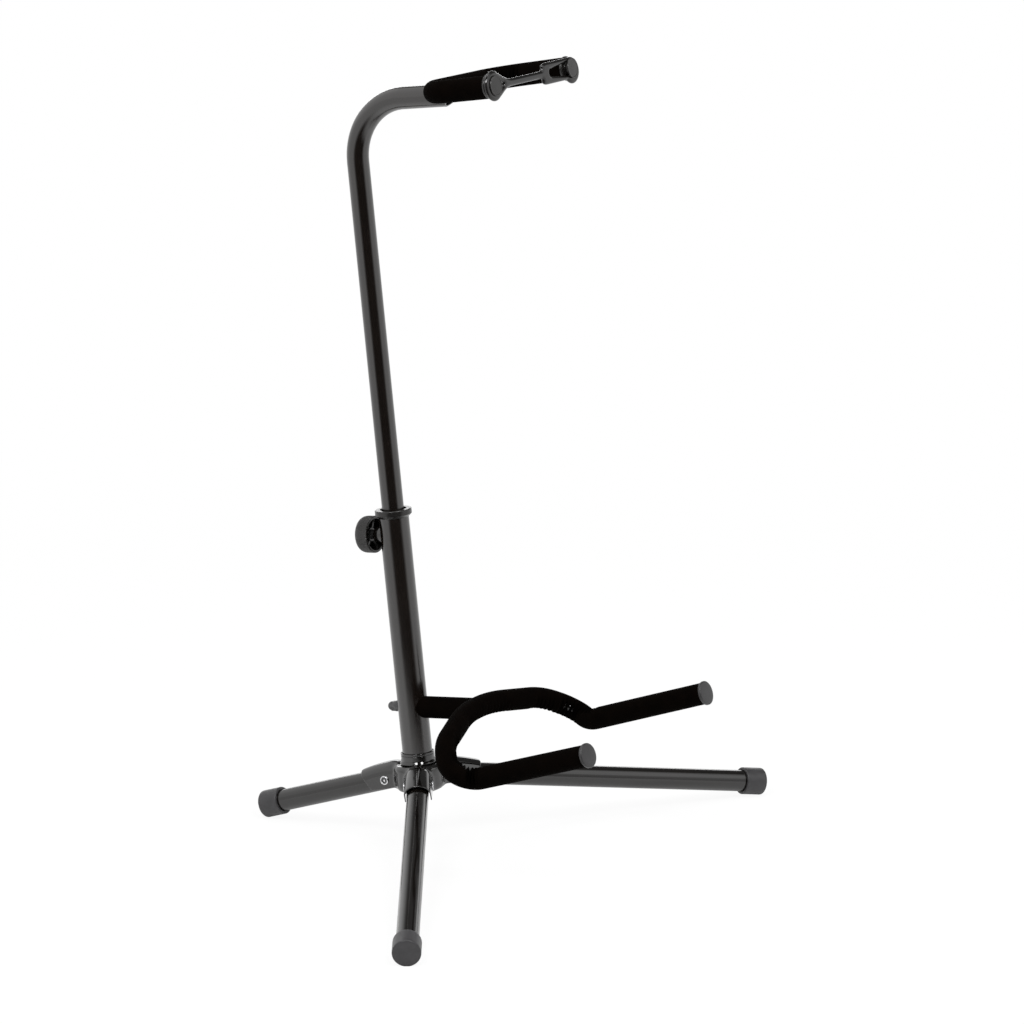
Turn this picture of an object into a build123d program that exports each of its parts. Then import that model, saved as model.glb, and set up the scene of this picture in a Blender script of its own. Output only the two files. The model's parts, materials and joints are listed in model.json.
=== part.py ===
from build123d import *
import math
import os

# Folding guitar stand. Everything is built in the mast frame: its origin is
# where the three leg axes cross the mast axis, +Z runs up the mast, -Y points
# forward and X is across. The finished pieces are then tilted back and set on
# the floor, so that the soles of the feet lie in the plane z = 0.

# Driving dimensions, in millimetres and degrees.
mast_tilt = 6.4
upper_tube_diameter = 19.0
leg_tube_diameter = 19.0
thin_tube_wall = 1.2
lower_tube_wall = 1.5
lower_tube_top = 227.0
insertion_depth = 78.0
running_clearance = 0.05
soft_clearance = 0.3
overrun = 1.0  # how far a cutting solid runs past the face it opens

leg_decline = 12.3
front_leg_length = 344.3
leg_directions = {"rear": 90.0, "left": 210.0, "right": 330.0}
pivot_clearance = 3.0
rivet_diameter = 6.0
rivet_head_lip = 1.4
rivet_head_height = 1.2
rivet_head_rounding = 0.7
rivet_dimple_diameter = 3.4
rivet_dimple_depth = 2.2

foot_wall = 2.5
foot_length = 20.0
foot_end_thickness = 3.0
foot_edge_radius = 1.2
sole_depth = 0.5

hub_ring_wall = 1.6
hub_ring_height = 10.0
hub_lip_height = 1.3
hub_lip_step = 0.35
hub_core_top = 8.0
hub_core_bottom = -16.8
hub_core_slope = 4.5
hub_boss_radius = 21.5
hub_web_radius = 3.0
hub_core_width = 11.0
channel_wall = 1.6
channel_side_gap = 0.6
channel_top_gap = 0.35
channel_corner_radius = 9.2
channel_inner_corner_radius = 6.0
channel_past_pivot = 28.5
channel_root_rise = 3.0
channel_crest_rise = 2.6
channel_crest_setback = 26.0
channel_root_wall = 4.5
channel_root_depth = 7.0
channel_end_depth = 4.6
channel_end_slant = 10.5
plug_cap_height = 2.0
plug_recess = 0.8
plug_shank_length = 10.0

collar_wall = 2.0
collar_lip_width = 2.85
collar_lip_height = 4.6
collar_lip_above_tube = 4.5
collar_cone_height = 2.4
collar_cone_step = 0.2
collar_sleeve_length = 12.0
collar_mouth_depth = 4.0
collar_edge_radius = 0.8

bush_length = 15.0
bush_floor = 3.0
bush_rib_rise = 5.0
bush_rib_height = 2.0
bush_rib_depth = 0.35

clamp_below_collar = 6.2
screw_diameter = 8.0
screw_socket_wall = 1.5
boss_wall = 3.0
boss_height = 5.8
pad_thickness = 1.5
pad_stem_length = 3.0
knob_diameter = 32.0
knob_thickness = 13.0
knob_gap = 1.5
knob_rim_wall = 2.4
knob_back_wall = 3.0
knob_hub_wall = 2.5
knob_hub_recess = 0.5
knob_rib_count = 6
knob_rib_thickness = 1.8
knob_rib_recess = 2.5
knob_edge_radius = 6.0

bend_radius = 53.0
bend_height = 582.8
neck_rise = 1.35
neck_cut_behind_bar = 19.2
neck_cut_ahead_of_bar = 1.6

yoke_rod_diameter = 8.0
yoke_foam_diameter = 19.2
yoke_bar_reach = 111.2
yoke_bar_half_width = 57.5
yoke_bar_above_neck = 7.3
yoke_bar_roll = 0.8
yoke_arm_reach = 74.4
yoke_arm_splay = 2.8
yoke_rise = 3.9
yoke_corner_radius = 25.0

cap_wall = 1.75
cap_front_wall = 3.0
cap_length = 8.5
cap_button_lip = 2.4
cap_button_height = 1.3
cap_flange_lip = 2.7
cap_flange_height = 1.5
cap_skirt_lip = 0.3
cap_edge_radius = 0.5

strap_thickness = 2.4
strap_side_clearance = 0.6
strap_hole_clearance = 0.25
strap_ring_width = 6.1
strap_ring_taper = 21.0
strap_hook_width = 3.2
strap_bar_height = 6.2
strap_loop_length = 45.2
strap_loop_slot_height = 8.6
strap_tab_length = 8.4
strap_corner_radius = 7.0

stem_height = 57.5
cradle_roll = 2.2
stem_diameter = 12.0
stem_foam_diameter = 19.0
stud_diameter = 5.0
stud_grip = 14.0
nut_side_wall = 1.5
nut_hex_height = 4.0
nut_end_wall = 1.6
washer_lip = 0.7
washer_height = 3.9

cradle_rod_diameter = 8.0
cradle_rod_wall = 2.0
cradle_foam_diameter = 18.8
cradle_cap_lip = 1.0
cradle_cap_thickness = 3.0
cradle_cap_edge_radius = 0.6
cradle_plug_length = 8.0
# Corners of the bent cradle rod, right half: across, forward, above the stem.
cradle_corners = [
    (19.6, 65.8, 1.0),
    (78.3, 81.2, -10.0),
    (102.1, 98.3, -26.2),
    (93.9, 117.9, -33.8),
]
cradle_end = (98.4, 236.7, -6.7)
cradle_bend_radii = [115.0, 60.0, 21.5, 19.0]

# Sizes that follow from the driving ones.
upper_tube_radius = upper_tube_diameter / 2
upper_tube_bottom = lower_tube_top - insertion_depth
lower_bore_radius = upper_tube_radius + collar_wall
lower_tube_radius = lower_bore_radius + lower_tube_wall
lower_tube_bottom = hub_core_bottom + plug_recess + plug_cap_height
collar_radius = lower_tube_radius + collar_lip_width
bush_rib_low = upper_tube_bottom + bush_rib_rise

leg_tube_radius = leg_tube_diameter / 2
foot_radius = leg_tube_radius + foot_wall
channel_inner_half = leg_tube_radius + channel_side_gap
channel_outer_half = channel_inner_half + channel_wall
channel_inner_top = leg_tube_radius + channel_top_gap
channel_outer_top = channel_inner_top + channel_wall
channel_root = lower_tube_radius + channel_root_wall
pivot_distance = channel_root + leg_tube_radius + pivot_clearance
channel_length = pivot_distance + channel_past_pivot
rivet_radius = rivet_diameter / 2
hub_ring_radius = lower_tube_radius + hub_ring_wall
hub_core_reach = lower_tube_radius + hub_core_width

clamp_height = lower_tube_top - collar_sleeve_length - clamp_below_collar
screw_radius = screw_diameter / 2
pad_stem_radius = screw_radius - screw_socket_wall
pad_face = upper_tube_radius + soft_clearance
screw_tip = pad_face + pad_thickness + running_clearance
boss_face = lower_tube_radius + boss_height
knob_radius = knob_diameter / 2
knob_mouth = boss_face + knob_gap
knob_back = knob_mouth + knob_thickness
screw_end = knob_back - knob_back_wall / 2

yoke_rod_radius = yoke_rod_diameter / 2
yoke_foam_radius = yoke_foam_diameter / 2
yoke_bar_height = (
    bend_height + yoke_bar_reach * math.tan(math.radians(neck_rise)) + yoke_bar_above_neck
)
yoke_end_reach = yoke_bar_reach + yoke_arm_reach
yoke_end_half_width = yoke_bar_half_width + yoke_arm_splay
cap_groove_radius = yoke_rod_radius + cap_wall
cap_groove_width = strap_thickness + 2 * strap_side_clearance
cap_button_radius = cap_groove_radius + cap_button_lip
cap_flange_radius = yoke_foam_radius + cap_flange_lip
strap_hole_radius = cap_groove_radius + strap_hole_clearance
strap_setback = cap_button_height + cap_flange_height + cap_groove_width / 2

stud_radius = stud_diameter / 2
nut_radius = stud_radius + nut_side_wall
cradle_rod_radius = cradle_rod_diameter / 2
cradle_foam_radius = cradle_foam_diameter / 2
cradle_plug_radius = cradle_rod_radius - cradle_rod_wall
cradle_cap_radius = cradle_foam_radius + cradle_cap_lip
nut_seat = lower_tube_radius + washer_height
nut_bore_end = nut_seat + nut_hex_height + nut_radius - nut_end_wall

base_aligned = (Align.CENTER, Align.CENTER, Align.MIN)


def along_x(radius, start, end):
    """Solid cylinder along X."""
    return Pos(start, 0, 0) * Rot(0, 90, 0) * Cylinder(radius, end - start, align=base_aligned)


def along_y(radius, start, end):
    """Solid cylinder along Y."""
    return Pos(0, start, 0) * Rot(-90, 0, 0) * Cylinder(radius, end - start, align=base_aligned)


def along_z(radius, start, end):
    """Solid cylinder along Z."""
    return Pos(0, 0, start) * Cylinder(radius, end - start, align=base_aligned)


def pipe(path, outer, inner=0.0):
    """Round section, hollow where an inner radius is given, swept along a path."""
    section = Circle(outer)
    if inner:
        section -= Circle(inner)
    return sweep(Plane(origin=path @ 0, z_dir=path % 0) * section, path=path)


def turned(profile):
    """Solid of revolution about Z from (radius, height) points."""
    return revolve(Plane.XZ * make_face(Polyline(*profile, close=True)), Axis.Z)


def forward(across, reach, height):
    """Point in the mast frame from its distance across, forward and up."""
    return Vector(across, -reach, height)


def mast_envelope():
    """Everything inside the outer surface of the lower tube."""
    return along_z(lower_tube_radius, lower_tube_bottom, lower_tube_top)


# --- Legs -------------------------------------------------------------------
def leg_location(name):
    """Leg frame: X outward along the leg, Y across it, Z up and square to it."""
    return Rot(0, 0, leg_directions[name]) * Rot(0, leg_decline, 0)


def slope_to_floor(name):
    """Angle in radians between a leg and the floor, once the mast is tilted."""
    azimuth = math.radians(leg_directions[name])
    decline = math.radians(leg_decline)
    tilt = math.radians(mast_tilt)
    back = math.sin(azimuth) * math.cos(decline)
    down = back * math.sin(tilt) + math.sin(decline) * math.cos(tilt)
    return math.asin(down)


def end_height(slope):
    """Height of a foot's end centre, with the sole cut flat at the floor."""
    return foot_radius * math.cos(slope) - sole_depth


front_slope = slope_to_floor("left")
rear_slope = slope_to_floor("rear")
hub_height = end_height(front_slope) + front_leg_length * math.sin(front_slope)
rear_leg_length = (hub_height - end_height(rear_slope)) / math.sin(rear_slope)
leg_lengths = {
    "rear": rear_leg_length,
    "left": front_leg_length,
    "right": front_leg_length,
}


def leg_tube(name):
    """Tube with its inner end rounded about the pivot to swing in the channel."""
    reach = leg_lengths[name] - foot_end_thickness
    inner_radius = leg_tube_radius - thin_tube_wall
    tube = along_x(leg_tube_radius, 0, reach) - along_x(inner_radius, -overrun, reach + overrun)
    width = leg_tube_diameter + 2 * overrun
    rounding = along_y(leg_tube_radius, -leg_tube_radius, leg_tube_radius)
    rims = rounding.edges().filter_by(GeomType.CIRCLE)
    rounding = fillet(rims, channel_inner_corner_radius)
    beyond = Box(reach, width, width, align=(Align.MIN, Align.CENTER, Align.CENTER))
    hole = along_y(rivet_radius + running_clearance, -width / 2, width / 2)
    return tube & Pos(pivot_distance, 0, 0) * (rounding + beyond - hole)


def foot_cap(name):
    """Slip-on foot with a rounded end; the sole is cut after placing."""
    reach = leg_lengths[name]
    body = along_x(foot_radius, reach - foot_length, reach)
    body = fillet(body.edges().filter_by(GeomType.CIRCLE), foot_edge_radius)
    socket_start = reach - foot_length - overrun
    return body - along_x(leg_tube_radius, socket_start, reach - foot_end_thickness)


def leg_rivet():
    """Pivot rivet with two rolled, dimpled heads outside the channel walls."""
    half = channel_outer_half
    rivet = along_y(rivet_radius, -half, half)
    for side in (-1, 1):
        head = along_z(rivet_radius + rivet_head_lip, 0, rivet_head_height)
        head = fillet(head.edges().group_by(Axis.Z)[-1], rivet_head_rounding)
        dimple_bottom = rivet_head_height - rivet_dimple_depth
        dimple = along_z(rivet_dimple_diameter / 2, dimple_bottom, rivet_head_height)
        seat = Pos(0, side * half, 0) * Rot(-side * 90, 0, 0)
        rivet = rivet + seat * head - seat * dimple
    return Pos(pivot_distance, 0, 0) * rivet


# --- Hub --------------------------------------------------------------------
def channel_section(distance, half, top, corner):
    """Rounded-top channel section across the leg, at a distance along it."""
    section = Pos(0, (top - channel_root_depth) / 2) * Rectangle(2 * half, top + channel_root_depth)
    section = fillet(section.vertices().group_by(Axis.Y)[-1], corner)
    return Plane(origin=(distance, 0, 0), x_dir=(0, 1, 0), z_dir=(1, 0, 0)) * section


def leg_channel():
    """One leg's inverted channel: closed on top, open below and outward."""
    root_top = channel_outer_top + channel_root_rise
    tops = {
        0: root_top,
        channel_length - channel_crest_setback: channel_outer_top + channel_crest_rise,
        channel_length: channel_outer_top,
    }
    outer = loft([
        channel_section(distance, channel_outer_half, top, channel_corner_radius)
        for distance, top in tops.items()
    ], ruled=True)
    side = Plane.XZ * make_face(Polyline(
        (0, root_top + overrun),
        (channel_length, root_top + overrun),
        (channel_length - channel_end_slant, -channel_end_depth),
        (hub_core_reach, -channel_root_depth),
        (0, -channel_root_depth),
        close=True,
    ))
    return outer & extrude(side, amount=channel_outer_half + overrun, both=True)


def leg_cavity():
    """Room for the leg, with the root wall left between it and the mast."""
    section = channel_section(
        0, channel_inner_half, channel_inner_top, channel_inner_corner_radius
    )
    inner = extrude(section, amount=channel_length + overrun)
    below = Pos(0, 0, -channel_root_depth) * Box(
        channel_length + overrun, 2 * channel_inner_half, 2 * channel_root_depth,
        align=(Align.MIN, Align.CENTER, Align.CENTER),
    )
    root = Box(2 * channel_root, 4 * channel_outer_half, 8 * channel_outer_half)
    return inner + below - Rot(0, -leg_decline, 0) * root


def make_hub():
    """Ring on the mast, a round boss below it and three channels out of the boss."""
    plan = Sketch() + Circle(hub_boss_radius)
    for angle in leg_directions.values():
        arm = Pos(hub_core_reach / 2, 0) * Rectangle(hub_core_reach, 2 * channel_outer_half)
        plan += Rot(0, 0, angle) * arm
    valleys = [v for v in plan.vertices() if v.center().length < hub_core_reach - overrun]
    plan = fillet(valleys, hub_web_radius)
    core = Pos(0, 0, hub_core_bottom) * extrude(plan, amount=hub_core_top - hub_core_bottom)
    skirt_reach = hub_core_reach + channel_wall
    skirt = turned([
        (0, hub_core_bottom),
        (hub_ring_radius + channel_wall, hub_core_bottom),
        (skirt_reach, hub_core_bottom + hub_core_slope),
        (skirt_reach, hub_core_top),
        (0, hub_core_top),
    ])
    hub = core & skirt
    ring_top = hub_core_top + hub_ring_height
    hub += along_z(hub_ring_radius - hub_lip_step, hub_core_bottom, ring_top)
    hub += along_z(hub_ring_radius, ring_top - hub_lip_height, ring_top)
    for name in leg_directions:
        hub += leg_location(name) * leg_channel()
    for name in leg_directions:
        place = leg_location(name)
        hub -= place * leg_cavity()
        hole = along_y(rivet_radius, -2 * channel_outer_half, 2 * channel_outer_half)
        hub -= place * Pos(pivot_distance, 0, 0) * hole
    return hub - along_z(lower_tube_radius, hub_core_bottom - overrun, ring_top + overrun)


def make_hub_plug():
    """Plug pressed into the bottom of the lower tube."""
    cap = along_z(lower_tube_radius, lower_tube_bottom - plug_cap_height, lower_tube_bottom)
    shank = along_z(lower_bore_radius, lower_tube_bottom, lower_tube_bottom + plug_shank_length)
    return cap + shank


# --- Mast -------------------------------------------------------------------
def make_lower_tube():
    """Outer tube, drilled for the cradle stud and the clamp screw."""
    tube = along_z(lower_tube_radius, lower_tube_bottom, lower_tube_top)
    tube -= along_z(lower_bore_radius, lower_tube_bottom - overrun, lower_tube_top + overrun)
    tube -= Pos(0, 0, stem_height) * along_y(stud_radius, -lower_tube_radius, lower_tube_radius)
    screw_hole = along_y(screw_radius + running_clearance, 0, lower_tube_radius)
    return tube - Pos(0, 0, clamp_height) * screw_hole


def make_collar():
    """Flanged guide pressed into the mouth of the lower tube."""
    lip_top = lower_tube_top + collar_lip_above_tube
    lip_bottom = lip_top - collar_lip_height
    collar = turned([
        (0, lower_tube_top - collar_sleeve_length),
        (lower_bore_radius, lower_tube_top - collar_sleeve_length),
        (lower_bore_radius, lower_tube_top),
        (lower_tube_radius, lower_tube_top),
        (lower_tube_radius, lip_bottom - collar_cone_height),
        (lower_tube_radius + collar_cone_step, lip_bottom - collar_cone_height),
        (collar_radius, lip_bottom),
        (collar_radius, lip_top),
        (0, lip_top),
    ])
    collar = fillet(collar.edges().group_by(Axis.Z)[-1], collar_edge_radius)
    guide_radius = upper_tube_radius + running_clearance
    collar -= along_z(guide_radius, lower_tube_bottom, lip_top + overrun)
    return collar - along_z(lower_bore_radius, lip_top - collar_mouth_depth, lip_top + overrun)


def make_clamp_boss():
    """Threaded boss welded on the back of the lower tube."""
    boss = along_y(screw_radius + boss_wall, 0, boss_face)
    boss -= along_y(screw_radius + running_clearance, -overrun, boss_face + overrun)
    return Pos(0, 0, clamp_height) * boss - mast_envelope()


def make_clamp_screw():
    """Screw from the knob to the pad, with a socket for the pad's stem."""
    screw = along_y(screw_radius, screw_tip, screw_end)
    socket_end = screw_tip + pad_stem_length + running_clearance
    socket = along_y(pad_stem_radius + running_clearance, screw_tip - overrun, socket_end)
    return Pos(0, 0, clamp_height) * (screw - socket)


def make_clamp_pad():
    """Pad that bears on the upper tube and stays still while the screw turns."""
    disc = along_y(screw_radius - running_clearance, pad_face, pad_face + pad_thickness)
    stem = along_y(pad_stem_radius, pad_face, screw_tip + pad_stem_length)
    return Pos(0, 0, clamp_height) * (disc + stem)


def make_clamp_knob():
    """Hollow hand knob, open towards the mast, with ribs in its cup."""
    knob = along_y(knob_radius, knob_mouth, knob_back)
    knob = fillet(knob.edges().group_by(Axis.Y)[-1], knob_edge_radius)
    cup_radius = knob_radius - knob_rim_wall
    cup_floor = knob_back - knob_back_wall
    knob -= along_y(cup_radius, knob_mouth - overrun, cup_floor)
    knob += along_y(screw_radius + knob_hub_wall, knob_mouth + knob_hub_recess, cup_floor)
    rib_top = knob_mouth + knob_rib_recess
    for index in range(knob_rib_count):
        rib = Pos(0, rib_top, 0) * Box(
            cup_radius + knob_rim_wall / 2, cup_floor - rib_top, knob_rib_thickness,
            align=(Align.MIN, Align.MIN, Align.CENTER),
        )
        knob += Rot(0, 360 * index / knob_rib_count, 0) * rib
    return Pos(0, 0, clamp_height) * (knob - along_y(screw_radius, 0, screw_end))


def neck_path():
    """Axis of the upper tube: up the mast, then bent forward."""
    rise = math.tan(math.radians(neck_rise))
    neck_end = yoke_bar_reach + neck_cut_ahead_of_bar
    return FilletPolyline(
        (0, 0, upper_tube_bottom),
        (0, 0, bend_height),
        forward(0, neck_end, bend_height + neck_end * rise),
        radius=bend_radius,
    )


def neck_end_cut():
    """Everything past the slanted end of the upper tube."""
    cut_floor = yoke_bar_reach - neck_cut_behind_bar
    cut_roof = yoke_bar_reach + neck_cut_ahead_of_bar
    run = cut_roof - cut_floor
    low = bend_height - upper_tube_radius - upper_tube_diameter
    high = bend_height + upper_tube_radius + upper_tube_diameter
    outline = Plane.YZ * make_face(Polyline(
        (-cut_floor + run, low),
        (-cut_roof - run, high),
        (-cut_roof - 2 * run, high),
        (-cut_roof - 2 * run, low),
        close=True,
    ))
    return extrude(outline, amount=upper_tube_diameter, both=True)


def make_upper_tube():
    """Inner tube with its bent neck, its saddle for the rod and its bush groove."""
    tube = pipe(neck_path(), upper_tube_radius, upper_tube_radius - thin_tube_wall)
    tube -= neck_end_cut()
    tube -= pipe(yoke_path(cap_front_wall), yoke_rod_radius)
    groove_low = bush_rib_low - running_clearance
    groove_high = bush_rib_low + bush_rib_height + running_clearance
    groove = along_z(upper_tube_radius + overrun, groove_low, groove_high)
    groove -= along_z(upper_tube_radius - bush_rib_depth, groove_low, groove_high)
    return tube - groove


def make_glide_bush():
    """Plastic bush snapped on the hidden end of the upper tube."""
    bottom = upper_tube_bottom - bush_floor
    bush = along_z(lower_bore_radius - running_clearance, bottom, bottom + bush_length)
    seat = upper_tube_bottom - running_clearance
    top = bottom + bush_length + overrun
    bush -= along_z(upper_tube_radius + running_clearance, seat, top)
    bush += along_z(upper_tube_radius + collar_wall / 2, bush_rib_low, bush_rib_low + bush_rib_height)
    bush -= along_z(upper_tube_radius - thin_tube_wall, bottom - overrun, seat + overrun)
    return bush - along_z(upper_tube_radius - bush_rib_depth + running_clearance, seat, top)


# --- Neck yoke --------------------------------------------------------------
def yoke_point(across, reach):
    """Point in the sloping plane of the yoke."""
    rise = math.tan(math.radians(yoke_rise))
    return forward(across, reach, yoke_bar_height + (reach - yoke_bar_reach) * rise)


def yoke_corner(side):
    """Corner where the rolled bar meets one arm of the yoke."""
    drop = side * yoke_bar_half_width * math.tan(math.radians(yoke_bar_roll))
    return yoke_point(side * yoke_bar_half_width, yoke_bar_reach) - Vector(0, 0, drop)


def yoke_arm(side):
    """Middle of a cap's outer face, and the direction of the arm towards it."""
    face = yoke_point(side * yoke_end_half_width, yoke_end_reach)
    return face, (face - yoke_corner(side)).normalized()


def yoke_arm_point(side, setback):
    """Point on an arm's axis, set back from the face of its cap."""
    face, direction = yoke_arm(side)
    return face - direction * setback


def yoke_path(setback):
    """Axis of the yoke, its two ends set back from the faces of the caps."""
    return FilletPolyline(
        yoke_arm_point(-1, setback),
        yoke_corner(-1),
        yoke_corner(1),
        yoke_arm_point(1, setback),
        radius=yoke_corner_radius,
    )


def make_yoke_rod():
    """Bent rod that carries the neck yoke's foam."""
    return pipe(yoke_path(cap_front_wall), yoke_rod_radius)


def make_yoke_foam():
    """Foam sleeve on the rod, cut away where it meets the upper tube."""
    foam = pipe(yoke_path(cap_length), yoke_foam_radius, yoke_rod_radius)
    neck = pipe(neck_path(), upper_tube_radius) - neck_end_cut()
    return foam - neck


def make_yoke_cap(side):
    """End cap: a skirt, a groove for the strap, and a flange with a raised button."""
    face, direction = yoke_arm(side)
    groove_front = -cap_button_height - cap_flange_height
    groove_back = groove_front - cap_groove_width
    cap = turned([
        (0, -cap_length),
        (yoke_foam_radius + cap_skirt_lip, -cap_length),
        (yoke_foam_radius + cap_skirt_lip, groove_back),
        (cap_groove_radius, groove_back),
        (cap_groove_radius, groove_front),
        (cap_flange_radius, groove_front),
        (cap_flange_radius, -cap_button_height),
        (cap_button_radius, -cap_button_height),
        (cap_button_radius, 0),
        (0, 0),
    ])
    rims = cap.edges().filter_by(GeomType.CIRCLE).group_by(Axis.Z)
    flange_rim = rims[-2].sort_by(SortBy.LENGTH)[-1:]
    cap = fillet(rims[-1] + flange_rim, cap_edge_radius)
    cap -= along_z(yoke_rod_radius, -cap_length - overrun, -cap_front_wall)
    return Plane(origin=face, x_dir=(1, 0, 0), z_dir=direction).location * cap


def block(start, end, half_height):
    """Rectangle along X, centred on the X axis."""
    return Pos((start + end) / 2, 0) * Rectangle(end - start, 2 * half_height)


def ring_taper(radius, half_height, reach):
    """Wedge from the sides of a ring at the origin down to the strap's bar."""
    lean = math.atan2(half_height, reach) + math.acos(radius / math.hypot(reach, half_height))
    shoulder = (radius * math.cos(lean), radius * math.sin(lean))
    return make_face(Polyline(
        (0, 0),
        shoulder,
        (reach, half_height),
        (reach, -half_height),
        (shoulder[0], -shoulder[1]),
        close=True,
    ))


def make_neck_strap():
    """Rubber strap across the mouth: a ring, a bar and a long finger loop."""
    slope = math.radians(yoke_rise)
    normal = Vector(0, -math.cos(slope), math.sin(slope))
    left, right = (yoke_arm_point(side, strap_setback) for side in (-1, 1))
    half = (right.X - left.X) / 2
    ring_radius = strap_hole_radius + strap_ring_width
    hook_radius = strap_hole_radius + strap_hook_width
    slot_half = strap_loop_slot_height / 2
    loop_start = half - strap_loop_length
    slot_start = loop_start + strap_tab_length + slot_half
    loop = block(loop_start, half, hook_radius)
    loop = fillet(loop.vertices().group_by(Axis.X)[0], strap_corner_radius)
    strap = Pos(-half, 0) * Circle(ring_radius)
    strap += Pos(-half, 0) * ring_taper(ring_radius, strap_bar_height / 2, strap_ring_taper)
    strap += block(-half, loop_start + overrun, strap_bar_height / 2)
    strap += loop + Pos(half, 0) * Circle(hook_radius)
    strap -= block(slot_start, half, slot_half) + Pos(slot_start, 0) * Circle(slot_half)
    for centre_x in (-half, half):
        strap -= Pos(centre_x, 0) * Circle(strap_hole_radius)
    plane = Plane(origin=(left + right) / 2, x_dir=(1, 0, 0), z_dir=normal)
    return extrude(plane * strap, amount=strap_thickness / 2, both=True)


# --- Cradle -----------------------------------------------------------------
def cradle_point(side, across, reach, above):
    """Point of the cradle in the mast frame, rolled about the stem."""
    roll = math.radians(cradle_roll)
    level = side * across
    turned_across = level * math.cos(roll) - above * math.sin(roll)
    turned_above = above * math.cos(roll) + level * math.sin(roll)
    return forward(turned_across, reach, stem_height + turned_above)


def cradle_path(setback):
    """Axis of the cradle rod, its two ends set back from the cap faces."""
    points = {}
    for side in (-1, 1):
        corners = [cradle_point(side, *corner) for corner in cradle_corners]
        face = cradle_point(side, *cradle_end)
        arm = (face - corners[-1]).normalized()
        points[side] = corners + [face - arm * setback]
    radii = list(reversed(cradle_bend_radii)) + cradle_bend_radii
    return FilletPolyline(*reversed(points[-1]), *points[1], radius=radii)


def stem_envelope(radius):
    """Cylinder from the mast axis to the cradle rod's axis."""
    return Pos(0, 0, stem_height) * along_y(radius, -cradle_corners[0][1], 0)


def make_cradle_rod():
    """Bent rod of the cradle, drilled at both ends for the cap plugs."""
    rod = pipe(cradle_path(cradle_cap_thickness), cradle_rod_radius)
    for side in (-1, 1):
        plug_end = -cradle_cap_thickness - cradle_plug_length
        rod -= cradle_cap_location(side) * along_z(cradle_plug_radius, plug_end, 0)
    return rod


def make_cradle_stem():
    """Stem from the mast to the rod, saddled at both ends and tapped for the stud."""
    stem = stem_envelope(stem_diameter / 2) - mast_envelope()
    stem -= pipe(cradle_path(cradle_cap_thickness), cradle_rod_radius)
    grip = lower_tube_radius + stud_grip
    return stem - Pos(0, 0, stem_height) * along_y(stud_radius, -grip, 0)


def make_stem_foam():
    """Foam sleeve on the stem, between the mast and the cradle's foam."""
    foam = stem_envelope(stem_foam_diameter / 2) - stem_envelope(stem_diameter / 2)
    foam -= mast_envelope()
    return foam - pipe(cradle_path(cradle_cap_thickness), cradle_foam_radius)


def make_cradle_foam():
    """Foam sleeve on the cradle rod, open where the stem comes in."""
    foam = pipe(cradle_path(cradle_cap_thickness), cradle_foam_radius, cradle_rod_radius)
    return foam - stem_envelope(stem_diameter / 2)


def cradle_cap_location(side):
    """Frame on a cradle cap's outer face, +Z along the end of the arm."""
    corner = cradle_point(side, *cradle_corners[-1])
    face = cradle_point(side, *cradle_end)
    return Plane(origin=face, x_dir=(1, 0, 0), z_dir=(face - corner).normalized()).location


def make_cradle_cap(side):
    """Disc with a plug pressed into the end of the rod."""
    disc = along_z(cradle_cap_radius, -cradle_cap_thickness, 0)
    disc = fillet(disc.edges().filter_by(GeomType.CIRCLE), cradle_cap_edge_radius)
    plug_end = -cradle_cap_thickness - cradle_plug_length
    plug = along_z(cradle_plug_radius, plug_end, -cradle_cap_edge_radius)
    return cradle_cap_location(side) * (disc + plug)


def make_cradle_stud():
    """Stud from the stem through the mast to the cap nut."""
    stud = along_y(stud_radius, -lower_tube_radius - stud_grip, nut_bore_end)
    return Pos(0, 0, stem_height) * stud


def make_cradle_washer():
    """Saddle washer between the cap nut and the back of the lower tube."""
    washer = along_y(nut_radius + washer_lip, 0, nut_seat)
    washer -= along_y(stud_radius, -overrun, nut_seat + overrun)
    return Pos(0, 0, stem_height) * washer - mast_envelope()


def make_cradle_nut():
    """Domed cap nut at the back of the mast."""
    hexagon = Plane.XZ.offset(-nut_seat) * RegularPolygon(nut_radius, 6, major_radius=False)
    nut = extrude(hexagon, amount=-nut_hex_height)
    dome_base = nut_seat + nut_hex_height
    dome = Pos(0, dome_base, 0) * Sphere(nut_radius)
    dome &= along_y(nut_radius, dome_base, dome_base + nut_radius)
    bore = along_y(stud_radius, nut_seat - overrun, nut_bore_end)
    return Pos(0, 0, stem_height) * (nut + dome - bore)


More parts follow.
